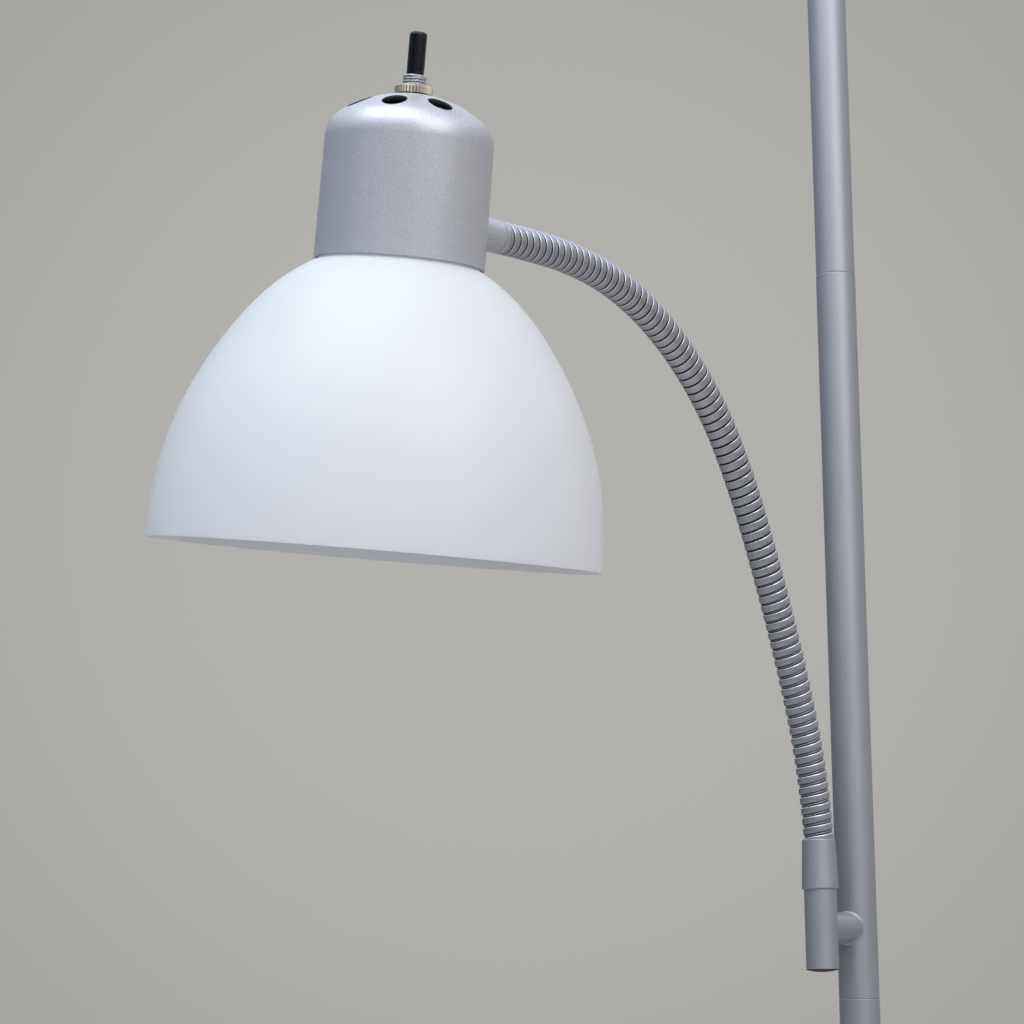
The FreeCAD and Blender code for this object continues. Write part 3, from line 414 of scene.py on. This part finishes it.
def dress_frame():
    """A material for every construction node, by the record's slot, and the finishes that were made."""
    satin = silver_paint("satin_silver", srgb(166, 169, 176), srgb(179, 182, 189), 0.05, 0.47, 0.70)
    finishes = {
        "satin_silver": satin,
        "cast_weight": cast_iron(),
        "felt": felt(),
        "zinc_steel": turned_metal("zinc_steel", srgb(150, 150, 148), srgb(190, 190, 186), 0.34, 900.0),
        "nickel": turned_metal("nickel", srgb(220, 213, 196), srgb(246, 241, 228), 0.28, 1600.0),
        "opal_shade": opal_plastic(),
        "black_gloss": gloss_black(),
        "black_plastic": matt_black(),
        "brass": turned_metal("brass", srgb(186, 150, 84), srgb(222, 190, 120), 0.25, 900.0),
        "opal_bulb": frosted_bulb(),
        "lead": lead_rubber(),
    }
    for entry in frame["record"]["subparts"]:
        paint_node(entry["node"], finishes[entry["material_slot"]])
    steel = turned_metal("bushing_steel", srgb(196, 202, 212), srgb(228, 233, 240), 0.16, 1600.0)
    # Painted light: a brighter, less metallic copy of the silver paint for the caps and the pieces round
    # them, standing in for the stronger light on the head.
    cap = silver_paint("lit_silver", srgb(178, 181, 187), srgb(201, 203, 207), 0.11, 0.36, 0.48)
    for light in ("reading", "torchiere"):
        paint_node("%s_switch_bushing" % light, steel)
        paint_node("%s_cap" % light, cap)
    finishes["lit_silver"] = cap
    return finishes


def paint_node(name, material):
    """One construction node in one material."""
    node = frame["nodes"][name]
    node.data.materials.clear()
    node.data.materials.append(material)


# ---------------------------------------------------------------- mesh helpers

def mesh_object(name, points, faces, material, smooth=True):
    """An object in the scene from points and faces."""
    mesh = bpy.data.meshes.new(name)
    mesh.from_pydata(points, [], faces)
    mesh.update()
    mesh.materials.append(material)
    if smooth:
        mesh.polygons.foreach_set("use_smooth", [True] * len(mesh.polygons))
    made = bpy.data.objects.new(name, mesh)
    bpy.context.scene.collection.objects.link(made)
    return made


def ring_faces(rings, sides):
    """Quads between successive outlines of points, and from the last back to the first."""
    faces = []
    for ring in range(rings):
        for side in range(sides):
            after = (side + 1) % sides
            low = ring * sides
            high = (ring + 1) % rings * sides
            faces.append((low + side, low + after, high + after, high + side))
    return faces


# ---------------------------------------------------------------- flexible arm

def link_starts():
    """Start point and tilt of each link, and of the arm's end."""
    places = [(ARM_START, math.radians(ARM_START_TILT))]
    for turn in LINK_TURNS:
        places.append(along_link(places[-1], math.radians(turn), LINK_LENGTH))
    return places


def along_link(start, turn, distance):
    """Point and tilt at a distance along a link that turns evenly."""
    point, tilt = start
    curvature = turn / LINK_LENGTH
    end = tilt + curvature * distance
    step = Vector((math.cos(end) - math.cos(tilt), 0.0, math.sin(end) - math.sin(tilt)))
    return point + step / curvature, end


def arm_at(distance, starts):
    """Point and tilt at a distance along the whole arm."""
    index = max(0, min(int(distance / LINK_LENGTH), len(LINK_TURNS) - 1))
    return along_link(starts[index], math.radians(LINK_TURNS[index]), distance - index * LINK_LENGTH)


def distance_of(turns):
    """Distance along the arm after a number of the winding's turns."""
    if turns <= OPEN_RIBS:
        return turns * OPEN_PITCH
    return OPEN_RIBS * OPEN_PITCH + (turns - OPEN_RIBS) * CLOSE_PITCH


def turns_at(distance):
    """The winding's turns at a distance along the arm."""
    if distance <= OPEN_RIBS * OPEN_PITCH:
        return distance / OPEN_PITCH
    return OPEN_RIBS + (distance - OPEN_RIBS * OPEN_PITCH) / CLOSE_PITCH


def half_groove(distance):
    """Half of the groove's width, as a share of the pitch."""
    share = max(0.0, min(1.0, (distance - OPEN_UNTIL) / (CLOSED_FROM - OPEN_UNTIL)))
    return OPEN_GROOVE + (CLOSE_GROOVE - OPEN_GROOVE) * share


def groove_bottom(half):
    """Height of the groove's bottom: deep where the ribs stand open, shallow where they close up."""
    openness = (half - CLOSE_GROOVE) / (OPEN_GROOVE - CLOSE_GROOVE)
    return CLOSE_DEPTH * (1.0 - openness)


def rib_rows(half):
    """A rib from one groove's middle to the next: (share of the pitch, height, tone, on the upper edge).

    It runs over the groove's ridge, up the lower wall, across the crest and down over the upper edge. The
    tone is painted shade, darkest at the groove's bottom, and the upper-edge value marks a painted highlight.
    """
    bottom = groove_bottom(half)
    ridge = bottom + (CLOSE_DEPTH - bottom) * 0.8
    ridge_tone = 0.72 * (1.0 - bottom / CLOSE_DEPTH)
    wall = bottom + (1.0 - bottom) * 0.15
    return (
        (0.0, ridge, ridge_tone, 0.0),
        (half * 0.48, ridge - (ridge - bottom) * 0.2, ridge_tone * 0.9, 0.0),
        (half * 0.72, bottom, 0.0, 0.0),
        (half, wall, 0.0, 0.0),
        (half + 0.020, bottom + (1.0 - bottom) * 0.75, 0.45, 0.0),
        (half + 0.060, 0.95, 0.85, 0.0),
        (half + 0.130, 1.0, 1.0, 0.0),
        (0.550, 1.0, 1.0, 0.0),
        (0.890 - half, 0.97, 1.0, 0.1),
        (0.935 - half, 0.91, 1.0, 1.0),
        (0.975 - half, bottom + (1.0 - bottom) * 0.7, 0.9, 1.0),
        (0.995 - half, wall, 0.0, 0.0),
        (1.0 - half * 0.72, bottom, 0.0, 0.0),
        (1.0 - half * 0.48, ridge - (ridge - bottom) * 0.2, ridge_tone * 0.9, 0.0),
    )


def rib_values(share, half):
    """Height, tone and edge value at a share of the pitch, between the rows."""
    rows = rib_rows(half)
    rows += ((1.0,) + rows[0][1:],)
    for low, high in zip(rows, rows[1:]):
        if share <= high[0]:
            part = (share - low[0]) / (high[0] - low[0])
            return tuple(start + (end - start) * part for start, end in zip(low[1:], high[1:]))
    return rows[0][1:]


def winding_point(rib, row, side, first, last):
    """A point of the winding: distance, (height, tone, edge value) and the end it is held at (-1, 0 or 1)."""
    share = side / SIDES
    half = half_groove(distance_of(rib + share))
    values = rib_rows(half)[row]
    distance = distance_of(rib + share + values[0])
    if first <= distance <= last:
        return distance, values[1:], 0
    end = first if distance < first else last
    turns = turns_at(end) - share
    half = half_groove(distance_of(math.floor(turns) + share))
    return end, rib_values(turns - math.floor(turns), half), -1 if distance < first else 1


def arm_piece(name, first, last, starts, material):
    """The wound tube from one distance along the arm to another, its rows laid along the winding.

    Points past either end are held there, where one point serves all rows, so that the end is cut flat.
    """
    first_rib = math.floor(turns_at(first)) - 2
    last_rib = math.ceil(turns_at(last)) + 1
    points = []
    values = []
    index_of = {}

    def vertex(row, side):
        rib, place = divmod(row, ROWS_PER_RIB)
        distance, (height, tone, edge), end = winding_point(rib, place, side, first, last)
        key = (end, side) if end else (row, side, 0)
        if key not in index_of:
            centre, tilt = arm_at(distance, starts)
            angle = 2 * math.pi * side / SIDES
            level = math.cos(angle)
            across = Vector((math.cos(tilt) * level, math.sin(angle), math.sin(tilt) * level))
            index_of[key] = len(points)
            points.append(centre + across * (GROOVE_RADIUS + (ARM_RADIUS - GROOVE_RADIUS) * height))
            values.append((tone, edge))
        return index_of[key]

    faces = []
    for row in range(first_rib * ROWS_PER_RIB, last_rib * ROWS_PER_RIB):
        for side in range(SIDES):
            next_side, next_row = (side + 1, row) if side + 1 < SIDES else (0, row + ROWS_PER_RIB)
            corners = (
                vertex(row, side),
                vertex(next_row, next_side),
                vertex(next_row + 1, next_side),
                vertex(row + 1, side),
            )
            face = tuple(dict.fromkeys(corners))
            if len(face) > 2:
                faces.append(face)
    used = sorted({index for face in faces for index in face})
    renumbered = {old: new for new, old in enumerate(used)}
    faces = [tuple(renumbered[index] for index in face) for face in faces]
    made = mesh_object(name, [points[index] for index in used], faces, material)
    for layer, column in (("crest", 0), ("edge", 1)):
        attribute = made.data.attributes.new(layer, "FLOAT", "POINT")
        attribute.data.foreach_set("value", [values[index][column] for index in used])
    return made


def build_arm():
    """The arm's winding, cut in the middle of each link so that every hinge lies inside one piece.

    Gives the links' places.
    """
    starts = link_starts()
    material = groove_paint()
    links = len(LINK_TURNS)
    middle = LINK_LENGTH / 2
    end = links * LINK_LENGTH
    foot = arm_piece("arm_winding_00", -FOOT_OVERLAP, middle, starts, material)
    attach(foot, "stand")
    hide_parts("arm_link_01")
    for hinge in range(1, links):
        first = hinge * LINK_LENGTH - middle
        last = hinge * LINK_LENGTH + middle
        piece = arm_piece("arm_winding_%02d" % hinge, first, last, starts, material)
        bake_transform(piece)
        if hinge < links - 1:
            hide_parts("arm_link_%02d" % (hinge + 1))
    tip = arm_piece("arm_winding_%02d" % links, end - middle, end + TIP_OVERLAP, starts, material)
    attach(tip, "reading_head")
    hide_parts("arm_link_%02d" % links)
    return starts


# ---------------------------------------------------------------- small pieces

def neck_ring(name, starts, outline, material):
    """Ring round the arm's end, its outline given by radius and distance past the end."""
    centre, tilt = arm_at(len(LINK_TURNS) * LINK_LENGTH, starts)
    along = Vector((-math.sin(tilt), 0.0, math.cos(tilt)))
    across = Vector((math.cos(tilt), 0.0, math.sin(tilt)))
    points = []
    for step in range(NECK_SIDES):
        angle = 2 * math.pi * step / NECK_SIDES
        out = across * math.cos(angle) + Vector((0.0, 1.0, 0.0)) * math.sin(angle)
        for radius, distance in outline:
            points.append(centre + out * radius + along * distance)
    made = mesh_object(name, points, ring_faces(NECK_SIDES, len(outline)), material)
    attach(made, "reading_head")


def neck_rings(starts, material):
    """Smooth cuff that ends the winding, and the tapered sleeve between it and the cap."""
    thick = CUFF_RADIUS - GROOVE_RADIUS
    half = CUFF_LENGTH / 2
    cuff = [(GROOVE_RADIUS + thick * out, CUFF_SHIFT + half * along) for out, along in CUFF_OUTLINE]
    neck_ring("winding_end_cuff", starts, cuff, material)
    first = CUFF_SHIFT + half / 2
    sleeve = [(SLEEVE_BORE, first)]
    for step in range(SLEEVE_STEPS + 1):
        share = step / SLEEVE_STEPS
        radius = SLEEVE_TIP_RADIUS + (SLEEVE_CAP_RADIUS - SLEEVE_TIP_RADIUS) * share
        if step == 0:
            radius -= SLEEVE_LEAD_IN
        sleeve.append((radius, first + (SLEEVE_END - first) * share))
    sleeve.append((SLEEVE_BORE, SLEEVE_END))
    neck_ring("neck_sleeve", starts, sleeve, material)


def weld_fillet(name, tube_radius, tube_x, sign, reach, material):
    """Painted fillet where one end of the cross stub meets an upright tube."""
    away = Vector((sign, 0.0, 0.0))
    widest = tube_radius * WELD_WIDEST
    points = []
    for step in range(WELD_SIDES):
        angle = 2 * math.pi * step / WELD_SIDES
        out = Vector((0.0, math.cos(angle), math.sin(angle)))
        y = STUB_RADIUS * out.y
        face = tube_x + sign * math.sqrt(tube_radius ** 2 - y ** 2)
        corner = Vector((face, y, STUB_HEIGHT + STUB_RADIUS * out.z))
        wave = 1.0 + sum(share * math.sin(count * angle + phase) for count, phase, share in WELD_WAVES)
        on_stub = corner + away * reach * wave - out * WELD_SKIN
        wide = max(-widest, min(widest, y + reach * wave * out.y))
        surface = tube_x + sign * (math.sqrt(tube_radius ** 2 - wide ** 2) - WELD_SKIN)
        on_tube = Vector((surface, wide, corner.z + reach * wave * out.z))
        sunk = corner - out * WELD_SINK - away * WELD_SINK
        knee = corner + (on_stub + on_tube - corner * 2) * WELD_KNEE
        for part in range(WELD_STEPS + 1):
            share = part / WELD_STEPS
            bend = on_stub * (1 - share) ** 2 + knee * 2 * share * (1 - share) + on_tube * share ** 2
            points.append(bend)
        points.append(sunk)
    made = mesh_object(name, points, ring_faces(WELD_SIDES, WELD_STEPS + 2), material)
    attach(made, "stand")


def vent_ring(name, place, turn, outline, material, body):
    """Ring round one vent, its outline given by distance from the vent's middle and height on the dome."""
    centre = Vector((VENT_RING_RADIUS * math.cos(turn), VENT_RING_RADIUS * math.sin(turn), 0.0))
    points = []
    for step in range(VENT_SIDES):
        angle = 2 * math.pi * step / VENT_SIDES
        away = Vector((math.cos(angle), math.sin(angle), 0.0))
        for reach, height in outline:
            flat = centre + away * reach
            rise = math.sqrt(CAP_DOME_RADIUS ** 2 - flat.x ** 2 - flat.y ** 2)
            points.append(place @ Vector((flat.x, flat.y, CAP_HEIGHT - CAP_DOME_RADIUS + rise + height)))
    made = mesh_object(name, points, ring_faces(VENT_SIDES, len(outline)), material)
    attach(made, body)


def vent_edges(light, place, finishes, body):
    """Pressed bright rim of the vents in a cap's dome, and a black sleeve down each vent's wall as painted
    shade.
    """
    for vent in range(VENT_COUNT):
        turn = 2 * math.pi * (vent + 0.5) / VENT_COUNT
        rim = "%s_vent_rim_%d" % (light, vent + 1)
        # The vent's rim takes the brighter copy of the silver that paints the light on the head.
        vent_ring(rim, place, turn, VENT_RIM, finishes["lit_silver"], body)
        # Painted shade: a black sleeve down the vent's wall.
        shade_sleeve = "%s_vent_shade_sleeve_%d" % (light, vent + 1)
        vent_ring(shade_sleeve, place, turn, VENT_SHADE_SLEEVE, finishes["black_plastic"], body)


def head_matrix():
    """Place of the reading light, with its cap's mouth down at height 0."""
    pitch = Matrix.Rotation(math.radians(HEAD_PITCH), 4, "Y")
    roll = Matrix.Rotation(math.radians(HEAD_ROLL), 4, "X")
    return Matrix.Translation(HEAD_PLACE) @ pitch @ roll


def torchiere_matrix():
    """Place of the torchiere's cap, with its mouth up."""
    return Matrix.Translation((0.0, 0.0, POLE_TOP + CAP_HEIGHT)) @ Matrix.Rotation(math.pi, 4, "X")


# ---------------------------------------------------------------- stage, light and camera

def build_stage():
    """Plain pale floor."""
    half = STAGE_SIZE / 2
    places = ((-half, -half), (half, -half), (half, half), (-half, half))
    corners = [Vector((x, y, 0.0)) for x, y in places]
    paint = stage_paint("floor_paint", srgb(*FLOOR_COLOUR))
    floor = mesh_object("floor", corners, [(0, 1, 2, 3)], paint, smooth=False)


def area_light(name, place, target, size, power, colour, in_gloss):
    """Soft rectangular lamp aimed at a target."""
    data = bpy.data.lights.new(name, "AREA")
    data.shape = "RECTANGLE"
    data.size, data.size_y = size
    data.energy = power
    data.color = colour
    light = bpy.data.objects.new(name, data)
    light.location = place
    light.rotation_euler = (target - place).to_track_quat("-Z", "Y").to_euler()
    light.visible_glossy = in_gloss
    bpy.context.scene.collection.objects.link(light)


def directions():
    """The camera's level right and forward directions."""
    azimuth = math.radians(CAMERA_AZIMUTH)
    right = Vector((math.cos(azimuth), math.sin(azimuth), 0.0))
    forward = Vector((-math.sin(azimuth), math.cos(azimuth), 0.0))
    return right, forward


def surrounding_colours(tree, right, forward):
    """The surroundings by direction: what metal shows, what lights dull surfaces, the plain backdrop.

    The first two are dark to the left, and the first has a bright sky high up.
    """
    def add(kind, **values):
        made = tree.nodes.new(kind)
        for key, value in values.items():
            setattr(made, key, value)
        return made

    def along(axis):
        product = add("ShaderNodeVectorMath", operation="DOT_PRODUCT")
        tree.links.new(place, product.inputs[0])
        product.inputs[1].default_value = axis
        return product.outputs["Value"]

    def spread(source, limits):
        part = add("ShaderNodeMapRange", interpolation_type="SMOOTHSTEP")
        part.inputs["From Min"].default_value, part.inputs["From Max"].default_value = limits
        tree.links.new(source, part.inputs["Value"])
        return part.outputs["Result"]

    place = add("ShaderNodeTexCoord").outputs["Generated"]
    pitch = math.radians(CAMERA_PITCH)
    aim = forward * math.cos(pitch) + Vector((0, 0, math.sin(pitch)))
    up = along(Vector((0, 0, 1)))
    rightwards = spread(along(right), LEFT_SPREAD)
    inwards = spread(along(aim), BACKDROP_SPREAD)
    backdrop = mix_colours(tree, inwards, srgb(*BACKDROP_EDGE), srgb(*BACKDROP_MIDDLE))
    level = mix_colours(tree, rightwards, LEFT_COLOUR, backdrop)
    dull = add("ShaderNodeVectorMath", operation="MULTIPLY")
    tree.links.new(level, dull.inputs[0])
    dull.inputs[1].default_value = DULL_TINT
    left = mix_colours(tree, spread(up, LEFT_RISE), LEFT_LOW, LEFT_HIGH)
    mirrored = mix_colours(tree, rightwards, left, backdrop)
    bright = mix_colours(tree, spread(up, SKY_RISE), mirrored, SKY_COLOUR)
    return bright, dull.outputs["Vector"], backdrop


def mix_colours(tree, factor, first, second):
    """Colour between two, each a socket or a value."""
    blend = tree.nodes.new("ShaderNodeMix")
    blend.data_type = "RGBA"
    tree.links.new(factor, blend.inputs[0])
    for socket, value in ((6, first), (7, second)):
        if hasattr(value, "is_output"):
            tree.links.new(value, blend.inputs[socket])
        else:
            blend.inputs[socket].default_value = value
    return blend.outputs[2]


def light_scene():
    """Neutral light from the upper right, bluish light on the reading light, and pale surroundings."""
    right, forward = directions()
    for name, aim, (ahead, aside, above), size, power, colour, in_gloss in LAMPS:
        place = aim + forward * ahead + right * aside + Vector((0, 0, above))
        area_light(name, place, aim, size, power, colour, in_gloss)
    world = bpy.data.worlds.new("surrounding")
    world.use_nodes = True
    tree = world.node_tree
    tree.nodes.clear()
    output = tree.nodes.new("ShaderNodeOutputWorld")
    paths = tree.nodes.new("ShaderNodeLightPath")
    background = tree.nodes.new("ShaderNodeBackground")
    bright, colour, backdrop = surrounding_colours(tree, right, forward)
    shown = {"Is Glossy Ray": bright, "Is Transmission Ray": bright, "Is Camera Ray": backdrop}
    for kind, seen in shown.items():
        colour = mix_colours(tree, paths.outputs[kind], colour, seen)
    tree.links.new(colour, background.inputs["Color"])
    tree.links.new(background.outputs["Background"], output.inputs["Surface"])
    bpy.context.scene.world = world


def place_camera():
    """Camera of the photograph."""
    right, forward = directions()
    pitch = math.radians(CAMERA_PITCH)
    roll = math.radians(CAMERA_ROLL)
    up = Vector((0, 0, 1))
    aim = forward * math.cos(pitch) + up * math.sin(pitch)
    top = up * math.cos(pitch) - forward * math.sin(pitch)
    side = right * math.cos(roll) + top * math.sin(roll)
    head = top * math.cos(roll) - right * math.sin(roll)
    eye = -right * CAMERA_SIDE - forward * CAMERA_DISTANCE + up * EYE_HEIGHT
    data = bpy.data.cameras.new("camera")
    data.lens = LENS_MM
    data.sensor_width = SENSOR_MM
    data.clip_start = CLIP_START
    data.clip_end = CLIP_END
    camera = bpy.data.objects.new("camera", data)
    rows = Matrix((side, head, -aim)).transposed()
    camera.matrix_world = Matrix.Translation(eye) @ rows.to_4x4()
    bpy.context.scene.collection.objects.link(camera)
    bpy.context.scene.camera = camera


def main():
    """The whole scene."""
    finishes = dress_frame()
    starts = build_arm()
    silver = finishes["satin_silver"]
    # The neck pieces take the brighter copy of the silver that paints the light on the head.
    neck_rings(starts, finishes["lit_silver"])
    weld_fillet("weld_pole", POLE_RADIUS, 0.0, -1, POLE_FILLET, silver)
    weld_fillet("weld_receiver", RECEIVER_RADIUS, -RECEIVER_REACH, 1, RECEIVER_FILLET, silver)
    vent_edges("reading", head_matrix(), finishes, "reading_head")
    vent_edges("torchiere", torchiere_matrix(), finishes, "stand")
    build_stage()
    light_scene()
    place_camera()
    bpy.context.scene.view_settings.view_transform = "Standard"


main()
